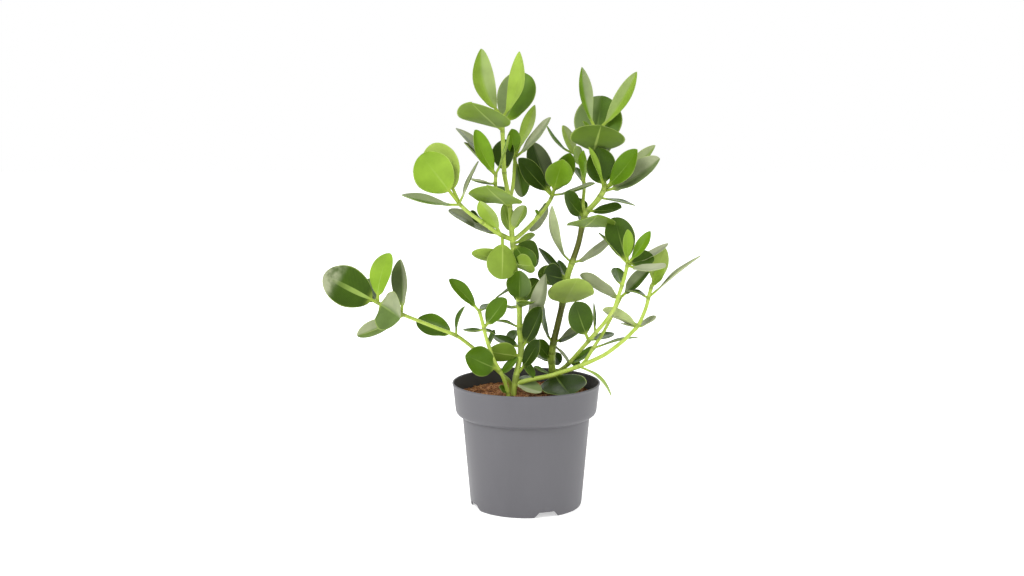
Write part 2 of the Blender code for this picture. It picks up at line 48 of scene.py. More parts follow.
# Pot, as in the frame
RIM_RADIUS = 0.085
POT_HEIGHT = 0.144
COLLAR_HEIGHT = 0.0325
COLLAR_FOOT_RADIUS = 0.0812
BODY_TOP_RADIUS = 0.0733
BODY_FOOT_RADIUS = 0.0646
WALL = 0.0014
SHOULDER = 0.0065
FOOT_BAND = 0.006
LIP_BAND = 0.0035
FLOOR_RISE = 0.0069
PAD_RADIUS = 0.0298
POT_STEPS = 128
NOTCH_COUNT = 4
NOTCH_AZIMUTH = math.radians(-69)
NOTCH_HEIGHT = 0.0066
NOTCH_WIDTH = 0.030
NOTCH_TOP_WIDTH = 0.018
NOTCH_RING = 0.062
NOTCH_DEPTH = 0.020
DRAIN_COUNT = 8
DRAIN_RADIUS = 0.004
DRAIN_RING = 0.047
CUT_SLACK = 0.002
SHARP_ANGLE = math.radians(32)

# Soil
SOIL_TOP = 0.1312
SOIL_EDGE = 0.1268
SOIL_RADIUS = 0.0806
SOIL_SKIRT = 0.012
SOIL_TAPER = 0.975
SOIL_RINGS, SOIL_STEPS = 64, 150
WALL_FLARE = 0.11
STEM_DEPTH = 0.022
STEM_SLACK = 0.0005
# Height of the lumps in the peat, how close together they lie, and where they start
LUMPS = ((0.0016, 70, (0, 0, 0)), (0.0011, 190, (3, 7, 1)), (0.0006, 480, (0, 0, 0)))

# Leaves and stems, placed by the same rows as the frame's
SEED = 17
STALK = 0.14
STALK_HALF = 0.0018
SLIM_ASPECT, ROUND_ASPECT = 0.25, 0.5
SLIM_SKEW, ROUND_SKEW = 1.2, 1.12
SLIM_BLUNT, ROUND_BLUNT = 0.8, 0.5
FOLD = 16
ARCH = -0.04
BLADE_THICK = 0.0010
STALK_THICK = 0.0026
STALK_TAPER = 0.12
STALK_BLEND = 0.22
TIP_HALF = 0.00025
RIB_SPREAD = 0.0011
RIB_RISE, RIB_GROOVE = 0.0007, 0.00022
EDGE_WAVE, BLADE_WAVE = 0.018, 0.012
LEAF_STATIONS = 22
LEAF_ACROSS = (0.0, 0.06, 0.14, 0.27, 0.42, 0.58, 0.74, 0.88, 0.965)
STEM_STEP = 0.004
JOINT_REACH = 0.0035
BARK_FADE = 5
BARK_HEIGHTS = {"stem_right": ((186, 238), (284, 326))}

# The rows give places as an eye in front of the plant sees them: millimetres across and up on
# the upright plane through the pot's axis, and millimetres behind that plane.
EYE = Vector((-0.0163, -1.690, 0.491))
EYE_TILT = math.radians(81.95)
LENS = 52.73
PLANT_MIDDLE = Vector((0.0, 0.0, 0.28))


def seen(across, up, depth):
    """Point that the eye sees at this place, at this depth behind the pot's axis."""
    on_plane = Vector((across * MM, 0.0, up * MM))
    reach = (depth * MM - EYE.y) / -EYE.y
    return EYE + (on_plane - EYE) * reach


def seen_height(place):
    """Height in mm at which the eye sees this place, on the plane through the pot's axis."""
    return (EYE.z + (place.z - EYE.z) * -EYE.y / (place.y - EYE.y)) / MM


def leaf(up, tip, width, turn=None, tone=0.1, bloom=0.0, rib=0.0, fold=FOLD, arch=ARCH, bow=0.0,
         stalk=STALK):
    """A leaf that springs from its stem at height up and ends at tip.

    turn is the angle between the upper face and the eye, towards the stem's end. Without it
    the leaf lies as it grows. tone runs from 0, old and dark, to 1, young and lime, and rib
    from 0 to 1 as the midrib pales and a painted highlight shows near the tip. bloom
    is how far a painted grey sheen, a reflection of bright surroundings painted into the
    colour, covers the blade, mostly on one side of the midrib: where axis x face points if it
    is positive, else on the other. fold is in degrees. arch, bow and stalk are shares of the
    length.
    """
    return {"up": up, "tip": tip, "width": width, "turn": turn, "tone": tone,
            "bloom": bloom, "rib": rib, "fold": fold, "arch": arch, "bow": bow, "stalk": stalk}


def shoot(girth, route, leaves):
    """A stem or side shoot: its radii at both ends in mm, its route and its leaves."""
    return {"girth": girth, "route": route, "leaves": leaves}


def centre_shoots():
    """The tall stem with its branches and twigs, the arching shoot and its climber."""
    stem = shoot((3.4, 2.3), [
        (-14.5, 127, -18), (-11.5, 150, -17), (-9, 163, -16), (-6, 178, -14),
        (-7.5, 205, -11), (-8, 231, -8), (-11, 260, -5), (-14, 288, -3), (-16, 308, -2),
        (-19, 348, 0), (-22, 366, 1), (-25, 383, 2), (-26, 410, 2), (-27, 432, 2),
        (-26, 448, 0)], [
        leaf(174, (-43, 179, -30), 31, 140, tone=0.3, fold=8),
        leaf(177, (-28, 152, -22), 15, 50, tone=0.35),
        leaf(181, (17, 230, -36), 28, 30, tone=-0.08, fold=26, arch=-0.08),
        leaf(184, (-38, 197, 14), 20, 60),
        leaf(150, (15, 192, -32), 22, 35, tone=-0.1, stalk=0.25),
        leaf(175, (9, 148, -22), 14, 45),
        leaf(147, (6, 150, 12), 9, 60),
        leaf(142, (18, 131.5, -23), 21, 45, tone=0.3, bloom=0.8, stalk=0.08),
        leaf(188, (5, 197, 44), 22, 40),
        leaf(206, (-37, 214, -4), 18, 85, arch=0.05),
        leaf(204, (-24, 190, 22), 15, 30),
        leaf(206, (22, 268, -24), 24, 35, bloom=-0.86, fold=26, bow=0.12),
        leaf(233, (-8, 272, -26), 31, 10, tone=0.22, bloom=0.15),
        leaf(231, (5, 236, -38), 22, 112),
        leaf(231, (-26, 231, 34), 22, 95),
        leaf(233, (2, 258, 52), 32, 20),
        leaf(235, (13.5, 262, 18), 22, 160),
        leaf(255, (-35, 240, 12), 16, 84, arch=0),
        leaf(280, (7.5, 278, -42), 25, 150, tone=0.45, stalk=0.02),
        leaf(287, (-62, 292, -18), 22, 135, tone=0.5),
        leaf(286, (0, 292, 56), 32, 20),
        leaf(300, (14, 284, 20), 34, 30, bloom=0.3),
        leaf(303, (8, 274, -14), 25, 25),
        leaf(303, (10, 313, 28), 13, 140, tone=0.5),
        leaf(313, (-26, 347, 10), 20, 150, tone=0.4),
        leaf(317, (-1.5, 346, -6), 22, 135, tone=0.45, bloom=0.35),
        leaf(347, (-40, 366, 54), 28, 30),
        leaf(345, (-45.5, 368, -62), 62, 124, tone=0.45, fold=-4, arch=-0.02),
        leaf(382, (-26, 420, 26), 28, 15, tone=0),
        leaf(430, (-61, 461, -50), 64, 122, tone=0.34, fold=-2, arch=-0.02),
        leaf(434, (-1, 494, 34), 45, 10, tone=0.3, bloom=-0.4),
        leaf(445, (-51, 521, -12), 31, 12, tone=0.68, bloom=0.4, fold=38, bow=-0.12),
        leaf(446, (-8, 518, -6), 25, 42, tone=0.9, bow=0.09, stalk=0.06),
    ])
    left_branch = shoot((2.6, 2.0), [
        (-16, 307, -2), (-31, 314, -9), (-50, 327, -20), (-65, 338, -29), (-77, 349, -37)], [
        leaf(312, (-28, 262, -34), 36, 168, tone=0.4, arch=-0.06, stalk=0.22),
        leaf(327, (-63, 338, 6), 14, 45),
        leaf(311, (-88, 341, -4), 30, -60, bloom=0.8),
        leaf(313, (-53, 351, -38), 21, 30, tone=0.85, bloom=0.2),
        leaf(348, (-119, 403, -30), 48, 15, tone=0.72, stalk=0.26),
        leaf(347, (-141, 358, -54), 24, 66, bloom=0.45),
        leaf(348, (-54, 396, -22), 18, 80, bloom=0.85, arch=-0.01),
        # Tone raised so this leaf reads as lit: painted light over the shadow that the leaf in
        # front casts on it
        leaf(347, (-107, 415, -18), 44, 12, tone=0.95, stalk=0.26),
    ])
    right_branch = shoot((2.6, 2.0), [
        (-15, 307, -2), (-8, 312, 6), (3, 322, 16), (14, 334, 26), (24, 347, 36), (30, 359, 43)], [
        leaf(354, (4, 317, 34), 23, -56, bloom=-0.85),
        leaf(335, (10, 341, 22), 5, 40, tone=0.6),
        leaf(357, (-9, 399, 12), 25, 20, tone=-0.1),
        leaf(357, (6, 417, 62), 30, 20, tone=0.05, bloom=0.3),
        leaf(357, (41, 398, 10), 33, 10, tone=0.6, stalk=0.2),
        leaf(356, (49, 405, 22), 27, 20, tone=0.35),
        leaf(358, (77, 371, 6), 22, 80, bloom=-0.5, arch=-0.03),
    ])
    twig = shoot((2.3, 1.9), [
        (-19.5, 350, 0), (-28, 354, -10), (-34, 362, -18), (-35, 372, -23), (-34.5, 383, -24)], [
        leaf(371, (-62, 375, -42), 16, 80, bloom=0.8),
        leaf(381, (-58, 431, -30), 25, 35, tone=0.6, fold=22, bow=-0.06, stalk=0.08),
        leaf(382, (-19, 425, -38), 18, 86, tone=0.6),
        leaf(381, (-79, 433, -2), 26, 66, bloom=0.75, arch=0.05),
        leaf(380, (-70, 417, -16), 20, 76, bloom=0.75, arch=0),
    ])
    inner_twig = shoot((2.2, 1.9), [
        (-19.5, 350, 0), (-16, 364, 10), (-14, 382, 19), (-13, 402, 24)], [
        leaf(399, (-4, 356, 36), 24, 30, bloom=0.35, arch=0.02),
        leaf(400, (27, 445, 14), 24, 62, bloom=-0.85, arch=-0.05),
        leaf(400, (-17, 432, 6), 20, 30, tone=0.4),
        leaf(401, (9.5, 459, 30), 16, 25, tone=0.9, bloom=0.25),
    ])
    arching_shoot = shoot((2.7, 2.0), [
        (-11, 141, -17), (0, 144.5, -19), (10, 146.8, -21), (20, 148.6, -22),
        (30, 151, -24), (40, 154.3, -26), (50, 157.6, -29), (61, 161.5, -32), (76, 168, -34),
        (90, 175, -34), (101, 183, -33), (112, 192, -30), (122, 202, -26), (128, 209, -24),
        (133, 220, -22), (137, 231, -19), (139, 240, -18), (143, 256, -16)], [
        leaf(161, (98, 126, -36), 14, 72, tone=0.8, bloom=0.3, fold=8, arch=0.13),
        leaf(208, (87, 227, -10), 22, 125, tone=0.95, bloom=0.85, arch=0, stalk=0.05),
        leaf(208, (111, 211, -2), 20, 78, bloom=0.85),
        leaf(207, (147, 220, -8), 18, 68, bloom=0.9, arch=-0.08),
        leaf(240, (112, 248, -4), 18, 80, arch=0.1),
        leaf(241, (198, 289, -12), 18, 80, bloom=0.95, arch=0.01),
        leaf(254, (157, 298, 8), 25, 160, tone=0.8),
        leaf(252, (156, 276, -16), 16, 40, tone=0.7),
    ])
    climber = shoot((2.0, 1.8), [
        (62, 161.5, -32), (68, 168, -27), (74, 178, -20), (80, 188, -13), (86, 197, -6),
        (92, 208, 1), (98, 220, 8), (103, 231, 14), (108, 243, 18)], [
        leaf(182, (128, 195, 8), 12, 82, arch=0.03),
        leaf(241, (141, 274, 6), 22, 38, tone=0.2, bloom=-0.6, fold=28, arch=-0.02),
        leaf(240, (61, 267, 34), 28, 122, bloom=-0.9, arch=-0.06, stalk=0.06),
    ])
    return [stem, left_branch, right_branch, twig, inner_twig, arching_shoot, climber]


def slim_left_shoots():
    return [shoot((2.3, 1.9), [
        (-20.5, 126, -27), (-23, 138, -29), (-27, 150, -32), (-32.5, 160, -35),
        (-38.5, 172, -38), (-42.5, 184, -41), (-46, 195, -44), (-48.5, 206, -47), (-51, 216, -49),
        (-54, 227, -51)], [
        leaf(131, (-31, 137, -34), 11, 50),
        leaf(157, (-69.5, 174.5, -62), 35, 12, tone=0.3),
        leaf(186, (-37, 204, -20), 10, 50),
        leaf(206, (-23, 240, -44), 25, 25, tone=0.15, fold=22),
        leaf(205, (-72, 204, -36), 15, 78, arch=-0.1),
        leaf(205, (-36, 200, -26), 12, 78),
        leaf(225, (-88, 262, -54), 21, 45, tone=0.3, arch=0.01),
        leaf(226, (-42, 234, -24), 12, 50),
    ])]


def far_left_shoots():
    """The stem that leans out over the rim."""
    return [shoot((2.3, 1.9), [
        (-17.5, 131, -4), (-19, 143, -9), (-27, 151, -13), (-40, 163, -17), (-53, 176, -21),
        (-66, 187, -25), (-80, 197, -30), (-100, 205, -36), (-120, 213, -42), (-140, 221, -47),
        (-158, 229, -51), (-173, 237, -54)], [
        leaf(199, (-124.5, 215.5, -14), 28, 20, stalk=0.07),
        leaf(197, (-70, 231, -36), 12, 66, arch=0.08),
        leaf(222, (-143, 285, -34), 26, 42, bloom=0.75, fold=28),
        leaf(221, (-193.5, 197, -66), 24, 140, bloom=-0.7, arch=0, bow=0.05),
        leaf(236, (-230.5, 267, -62), 47, 14, tone=0.05, rib=0.8, stalk=0.08),
        leaf(235, (-155, 292, -50), 27, 22, tone=0.66, bow=-0.08),
        leaf(234, (-144, 217, -84), 48, 15, tone=0.22, bloom=-0.74, stalk=0.04),
        leaf(235, (-184, 258, 2), 26),
    ])]


def right_shoots():
    """The thick dark stem with its branch, side shoot and young shoot."""
    stem = shoot((4.2, 2.6), [
        (28, 136, 32), (30, 152, 30), (29, 170, 27), (31, 188, 24), (36, 210, 22),
        (41, 233, 20), (46, 262, 18), (51.5, 280, 17), (59, 303, 17), (63.5, 325, 17),
        (67, 337, 18), (75, 346, 19), (83, 356, 20), (88, 367, 21), (84.5, 381, 23),
        (79, 394, 25), (73, 408, 26), (74, 418, 27), (79, 430, 28)], [
        leaf(155, (52, 127.5, -28), 55, 28, tone=-0.1, fold=13),
        leaf(152, (9, 160, 14), 14, 70, tone=0.3),
        leaf(168, (11, 191, 14), 20, 30),
        leaf(166, (12, 184, 64), 24, 30),
        leaf(178, (39, 165, 44), 15, 20, tone=0),
        leaf(187, (47, 167, 4), 16, 80, bloom=0.85, arch=0.03),
        leaf(188, (18, 233, 6), 22, 74, arch=-0.1),
        leaf(190, (66, 206, 2), 26, 62, bloom=-0.6, arch=-0.07),
        leaf(234, (58, 263, -30), 53, 150, tone=0.88, fold=-8, arch=-0.02, stalk=0.06),
        leaf(238, (52, 252, 62), 34, 30),
        leaf(262, (20, 268, -12), 30, 22),
        leaf(260, (13, 270, 22), 26, 160),
        leaf(262, (37, 284, 48), 12, 30),
        leaf(262, (14, 298, 36), 18, 60, arch=-0.03),
        leaf(281, (29, 346, -10), 20, 122, tone=0.2, bloom=0.95, arch=-0.14),
        leaf(281, (98, 308, -8), 28, 66, bloom=-0.95, arch=-0.08),
        leaf(321, (80, 335, -34), 57, 127, tone=0.35, fold=-4, arch=-0.02),
        leaf(326, (72, 330, 66), 36, 30),
        leaf(332, (43, 360, -6), 26, 42),
        leaf(334, (54, 354, 34), 22, 30),
        leaf(340, (107.5, 344, -8), 20, 50, tone=0),
        leaf(355, (123, 346, 26), 16, 80, arch=0.01),
        leaf(364, (80, 411, 4), 36, 10, tone=0.02),
        leaf(364, (103, 420, 36), 14, 78, arch=0.13),
        leaf(365, (124.5, 409, -16), 27, 25, tone=0.38, arch=-0.01, bow=0.04),
        leaf(364, (144.5, 414, 34), 27, 128, tone=0.4, bloom=0.6, arch=-0.07),
        leaf(362, (150, 399, -8), 34, 40, bloom=-0.78, fold=30, arch=-0.06, bow=0.05),
        leaf(404, (83.5, 436, -30), 62, 168, fold=-6, arch=-0.02),
        leaf(403, (84, 469, 52), 56, 6, tone=0.24, bloom=-0.22, fold=4, stalk=0.1),
        leaf(406, (88, 432, 68), 40, 40),
        leaf(429, (61.5, 501, 20), 22, 26, tone=0.5, bloom=0.6, fold=38, arch=-0.15),
        leaf(429, (123, 495.5, 24), 23, 22, tone=0.72, bloom=-0.4, fold=34, arch=-0.17),
        leaf(426, (63, 441, 14), 6, 40, tone=0.6),
    ])
    branch = shoot((2.5, 2.0), [
        (30, 153, 29), (39, 157, 21), (48, 164, 11), (62, 180, -2), (73, 193, -11),
        (80, 201, -16), (90, 213, -21), (100, 228, -26), (104, 240, -29), (108, 252, -31),
        (112, 266, -33), (115, 280, -34)], [
        leaf(164, (79.5, 183, -1), 20, 60, tone=0.32),
        leaf(166, (62, 163.5, 10), 12, 40),
        leaf(191, (55.5, 236, -36), 31, 15, tone=0.15, stalk=0.16),
        leaf(192, (100, 200, 24), 16, 55),
        leaf(200, (77, 235, 12), 12, 80, arch=-0.02),
        leaf(254, (102, 275, 2), 18, 30),
        leaf(279, (100, 332.5, -4), 35, 15, tone=0.05),
        leaf(281, (82, 315, -18), 12, 75, arch=0),
        leaf(280, (114.5, 319, -48), 15, 30, tone=0.7),
        leaf(280, (140.5, 317, -32), 16, 35, tone=0.5, bow=0.03),
        leaf(279, (144, 288, -20), 24, 32),
        leaf(278, (158, 276, -60), 26, 68, bloom=-0.95, arch=-0.07),
        leaf(279, (161, 303, 2), 18, 62, bloom=-0.95, arch=-0.08),
    ])
    side_shoot = shoot((2.1, 1.8), [
        (66, 336, 18), (64, 349, 30), (65, 368, 42), (62, 388, 50), (57, 405, 56)], [
        leaf(371, (64, 408, 28), 16, 48, tone=0.6),
        leaf(372, (56, 389, 70), 12, 40),
        leaf(390, (54, 412, 34), 18, 45, tone=0.85, bloom=0.3),
        leaf(396, (40.5, 436, 46), 18, 42, tone=1, bloom=0.6, arch=-0.06),
        leaf(403, (22, 437, 48), 13, 72, tone=0.35, arch=-0.12, stalk=0.25),
    ])
    young_shoot = shoot((1.9, 1.7), [(88, 362, 20), (88, 369, 13)], [
        leaf(368, (70, 412, -9), 10, 40, tone=0.75, fold=30, arch=-0.02),
    ])
    return [stem, branch, side_shoot, young_shoot]


PLANT = {
    "stem_centre": centre_shoots(),
    "stem_slim_left": slim_left_shoots(),
    "stem_far_left": far_left_shoots(),
    "stem_right": right_shoots(),
}

# Node trees

class Nodes:
    """A node tree that is built up node by node."""

    def __init__(self, tree):
        self.tree = tree

    def add(self, kind, inputs=None, **settings):
        """A node with its settings and inputs; an input takes a number, colour or socket."""
        made = self.tree.nodes.new(kind)
        for key, value in settings.items():
            setattr(made, key, value)
        for key, value in (inputs or {}).items():
            if isinstance(value, bpy.types.NodeSocket):
                self.tree.links.new(value, made.inputs[key])
            else:
                made.inputs[key].default_value = value
        return made

    def sums(self, operation, a, b=0.0, c=0.0):
        return self.add("ShaderNodeMath", {0: a, 1: b, 2: c}, operation=operation).outputs[0]

    def times(self, a, b):
        return self.sums("MULTIPLY", a, b)


# Materials

# Leaf shades by age, from old and dark to young and lime, and the ones laid over them
UPPER_SHADES = [
    (0.0, (0.020, 0.044, 0.002)), (0.12, (0.046, 0.096, 0.004)), (0.3, (0.074, 0.155, 0.005)),
    (0.55, (0.140, 0.270, 0.008)), (0.8, (0.255, 0.385, 0.040)), (1.0, (0.350, 0.470, 0.090))]
LOWER_SHADES = [
    (0.0, (0.070, 0.125, 0.012)), (0.35, (0.150, 0.235, 0.024)),
    (0.7, (0.255, 0.360, 0.050)), (1.0, (0.380, 0.490, 0.120))]
VEIN_GREEN = (0.26, 0.42, 0.06)
RIB_ABOVE, RIB_BELOW = (0.33, 0.46, 0.10), (0.36, 0.46, 0.11)
MARGIN_GREEN = (0.40, 0.50, 0.13)
STALK_GREEN = (0.290, 0.395, 0.050)
# Grey of the painted sheen: a reflection of bright surroundings painted into the leaf colour
PAINTED_SHEEN_GREY = (0.400, 0.425, 0.270)

# Shades along the streaks of a stem's skin, and the one at its joints
FRESH_SHADES = [
    (0.25, (0.300, 0.410, 0.045)), (0.55, (0.380, 0.495, 0.080)), (0.8, (0.450, 0.530, 0.140))]
WOODY_SHADES = [
    (0.25, (0.060, 0.066, 0.010)), (0.55, (0.115, 0.125, 0.018)), (0.8, (0.22, 0.25, 0.05))]
JOINT_OLIVE = (0.13, 0.18, 0.025)

# Dark and light shades of the plastic, and dark, middle and light ones of the peat; the peat's dark
# ones also serve as painted shade in the gaps of its relief
GREY_PLASTIC = (0.082, 0.080, 0.089), (0.099, 0.097, 0.107)
CHARCOAL_PLASTIC = (0.024, 0.025, 0.023), (0.042, 0.043, 0.040)
PEAT_SHADES = (0.040, 0.015, 0.006), (0.185, 0.075, 0.028), (0.420, 0.215, 0.105)
FIBRE_SHADES = (0.180, 0.068, 0.022), (0.400, 0.180, 0.066), (0.600, 0.345, 0.150)


class Finish(Nodes):
    """A material: its nodes, and the inputs of its lone Principled surface."""

    def __init__(self, name):
        self.material = bpy.data.materials.new(name)
        self.material.use_nodes = True
        super().__init__(self.material.node_tree)
        self.surface = self.tree.nodes["Principled BSDF"].inputs

    def attribute(self, name):
        return self.add("ShaderNodeAttribute", attribute_name=name).outputs["Fac"]

    def scaled(self, value, by, plus):
        return self.sums("MULTIPLY_ADD", value, by, plus)

    def remap(self, value, low, high, to_low=0.0, to_high=1.0):
        """Smooth step of value from low..high to to_low..to_high."""
        inputs = {"Value": value, "From Min": low, "From Max": high, "To Min": to_low,
                  "To Max": to_high}
        made = self.add("ShaderNodeMapRange", inputs, interpolation_type="SMOOTHSTEP")
        return made.outputs["Result"]

    def blended(self, share, a, b, mode="MIX"):
        """Colour from a to b by this share; each is a socket or a plain colour."""
        made = self.add("ShaderNodeMix", {"Factor": share}, data_type="RGBA", blend_type=mode)
        for socket, value in (("A", a), ("B", b)):
            place = next(s for s in made.inputs if s.name == socket and s.type == "RGBA")
            if isinstance(value, bpy.types.NodeSocket):
                self.tree.links.new(value, place)
            else:
                place.default_value = (*value, 1.0)
        return next(s for s in made.outputs if s.type == "RGBA")

    def cloud(self, scale, detail, roughness=0.55, stretch=None):
        """Noise in object space, from 0 to 1."""
        place = self.add("ShaderNodeTexCoord").outputs["Object"]
        if stretch:
            mapped = self.add("ShaderNodeMapping", {"Vector": place, "Scale": stretch})
            place = mapped.outputs[0]
        inputs = {"Vector": place, "Scale": scale, "Detail": detail, "Roughness": roughness}
        return self.add("ShaderNodeTexNoise", inputs).outputs["Fac"]

    def ramp(self, share, stops):
        """Colour ramp with these (position, colour) stops."""
        made = self.add("ShaderNodeValToRGB", {"Fac": share})
        bar = made.color_ramp
        while len(bar.elements) < len(stops):
            bar.elements.new(0.5)
        for element, (position, colour) in zip(bar.elements, stops):
            element.position = position
            element.color = (*colour, 1.0)
        return made.outputs["Color"]

    def wire(self, colour, roughness, height, bump, depth, specular=0.5):
        """Gives the surface its colour, roughness and fine relief, and hands over the material."""
        relief = self.add("ShaderNodeBump", {"Height": height, "Strength": bump, "Distance": depth})
        for key, socket in (("Base Color", colour), ("Roughness", roughness),
                            ("Normal", relief.outputs["Normal"])):
            self.tree.links.new(socket, self.surface[key])
        self.surface["Specular IOR Level"].default_value = specular
        return self.material


def waxy_leaf_material():
    """Thick waxy blade: satin green above, matte olive below, pale midrib, veins, margin, painted
    sheen and tip highlight.
    """
    made = Finish("waxy_leaf")
    tone, along, side, under, stalk, own, bloom, pale_rib_and_tip_highlight = (
        made.attribute(name)
        for name in ("tone", "along", "across", "under", "stalk", "own", "bloom", "rib"))
    across = made.sums("ABSOLUTE", side)
    mottle = made.cloud(55.0, 3.0)
    patches = made.cloud(16.0, 2.0)
    age = made.scaled(made.sums("SUBTRACT", patches, 0.5), 0.30, tone)
    age = made.scaled(made.sums("SUBTRACT", own, 0.5), 0.14, age)
    upper = made.ramp(age, UPPER_SHADES)
    lower = made.ramp(age, LOWER_SHADES)
    vein_wave = made.scaled(across, -5.5, made.times(along, 34.0))
    vein_wave = made.sums("SINE", made.times(vein_wave, 6.2832))
    vein = made.remap(vein_wave, 0.55, 1.0)
    vein = made.times(vein, made.remap(across, 0.04, 0.2))
    upper = made.blended(made.times(vein, 0.08), upper, VEIN_GREEN)
    narrow = made.remap(along, 0.0, 1.0, 0.055, 0.015)
    edge = made.scaled(pale_rib_and_tip_highlight, 0.10, narrow)
    rib = made.remap(made.sums("SUBTRACT", across, edge), -0.012, 0.022, 1.0, 0.0)
    top_share = made.scaled(pale_rib_and_tip_highlight, 0.5, 0.32)
    rib_top = made.times(rib, made.remap(along, 0.15, 0.9, 1.0, 0.12))
    upper = made.blended(made.times(rib_top, top_share), upper, RIB_ABOVE)
    lower = made.blended(made.times(rib, 0.6), lower, RIB_BELOW)
    colour = made.blended(made.remap(under, 0.35, 0.65), upper, lower)
    # Painted sheen: grey laid over the blade, mostly on one side of the midrib, standing in for a
    # reflection of bright surroundings; it also makes the blade rougher
    amount = made.sums("ABSOLUTE", bloom)
    waxed_side = made.times(side, made.sums("SIGN", bloom))
    far_side_sheen = made.remap(amount, 0.65, 0.95, 0.06, 0.75)
    wax = made.times(amount, made.remap(waxed_side, -0.08, 0.3, far_side_sheen, 1.0))
    wax = made.times(wax, made.remap(patches, 0.25, 0.75, 0.7, 1.1))
    # Painted highlight near the tip of leaves with a pale midrib, merged into the painted sheen
    tip_highlight = made.times(pale_rib_and_tip_highlight, made.remap(along, 0.62, 0.85))
    tip_highlight = made.times(tip_highlight, made.remap(mottle, 0.35, 0.6, 0.15, 1.0))
    wax = made.sums("MAXIMUM", wax, tip_highlight)
    colour = made.blended(wax, colour, PAINTED_SHEEN_GREY)
    margin = made.times(made.remap(across, 0.93, 0.99), 0.55)
    colour = made.blended(margin, colour, MARGIN_GREEN)
    colour = made.blended(stalk, colour, STALK_GREEN)
    shade = made.remap(mottle, 0.25, 0.75, 0.88, 1.10)
    grey = made.add("ShaderNodeCombineColor", {0: shade, 1: shade, 2: shade}).outputs[0]
    colour = made.blended(1.0, colour, grey, "MULTIPLY")
    gloss = made.scaled(mottle, 0.12, 0.28)
    gloss = made.scaled(wax, 0.15, gloss)
    matte = made.scaled(under, 0.20, gloss)
    height = made.scaled(vein, 0.25, made.cloud(420.0, 2.0))
    height = made.scaled(rib, -0.8, height)
    return made.wire(colour, matte, height, 0.14, 0.0004, 0.12)


def stem_material():
    """Smooth lime green skin that turns to olive brown bark with age, darker at the joints."""
    made = Finish("stem_skin")
    bark, joint = made.attribute("bark"), made.attribute("joint")
    streak = made.cloud(130.0, 3.0, stretch=(1.0, 1.0, 0.18))
    colour = made.blended(bark, made.ramp(streak, FRESH_SHADES), made.ramp(streak, WOODY_SHADES))
    ring = made.times(made.remap(joint, 0.55, 0.95), 0.6)
    colour = made.blended(ring, colour, JOINT_OLIVE)
    roughness = made.remap(streak, 0.2, 0.8, 0.36, 0.55)
    return made.wire(colour, roughness, streak, 0.25, 0.0006, 0.25)


def plastic_material(name, dark, light):
    """Moulded plastic: satin, with a fine grain and long faint streaks."""
    made = Finish(name)
    grain = made.cloud(900.0, 2.0)
    wear = made.cloud(22.0, 4.0, stretch=(1.0, 1.0, 0.35))
    colour = made.ramp(wear, [(0.3, dark), (0.7, light)])
    roughness = made.remap(wear, 0.25, 0.75, 0.42, 0.56)
    return made.wire(colour, roughness, grain, 0.10, 0.0003)


def peat_material(name, dark, middle, light):
    """Loose peat: brown, blotched, with painted shade in the low spots of its relief, quite matte.
    """
    made = Finish(name)
    lumps = made.cloud(260.0, 5.0, 0.7)
    damp = made.cloud(38.0, 3.0)
    # Darker where the fine relief is low: painted shade in the gaps between lumps, mixed with the
    # peat's own damp blotches
    gap_shade_and_blotches = made.scaled(lumps, 0.7, made.times(damp, 0.3))
    colour = made.ramp(gap_shade_and_blotches, [(0.38, dark), (0.5, middle), (0.6, light)])
    roughness = made.remap(lumps, 0.2, 0.8, 0.8, 0.97)
    return made.wire(colour, roughness, lumps, 0.9, 0.0012, 0.1)


# Mesh helpers

def add_object(name, data):
    thing = bpy.data.objects.new(name, data)
    bpy.context.scene.collection.objects.link(thing)
    return thing


def settled(thing):
    """Turns what a thing's modifiers make of it into its plain mesh."""
    graph = bpy.context.evaluated_depsgraph_get()
    mesh = bpy.data.meshes.new_from_object(thing.evaluated_get(graph))
    thing.modifiers.clear()
    thing.data = mesh
    mesh.shade_smooth()
    return mesh


def mesh_from(name, shape):
    """Plain mesh of a shape that isn't needed any more."""
    mesh = bpy.data.meshes.new(name)
    shape.to_mesh(mesh)
    shape.free()
    return mesh


def store(mesh, name, values):
    """Keeps one value for each point under this name."""
    layer = mesh.attributes.new(name, "FLOAT", "POINT")
    layer.data.foreach_set("value", np.asarray(values, np.float32).ravel())


def smooth_mesh(name, points, faces, layers=None):
    mesh = bpy.data.meshes.new(name)
    mesh.from_pydata([tuple(p) for p in points], [], [tuple(f) for f in faces])
    for key, values in (layers or {}).items():
        store(mesh, key, values)
    mesh.shade_smooth()
    return mesh


# Geometry node trees

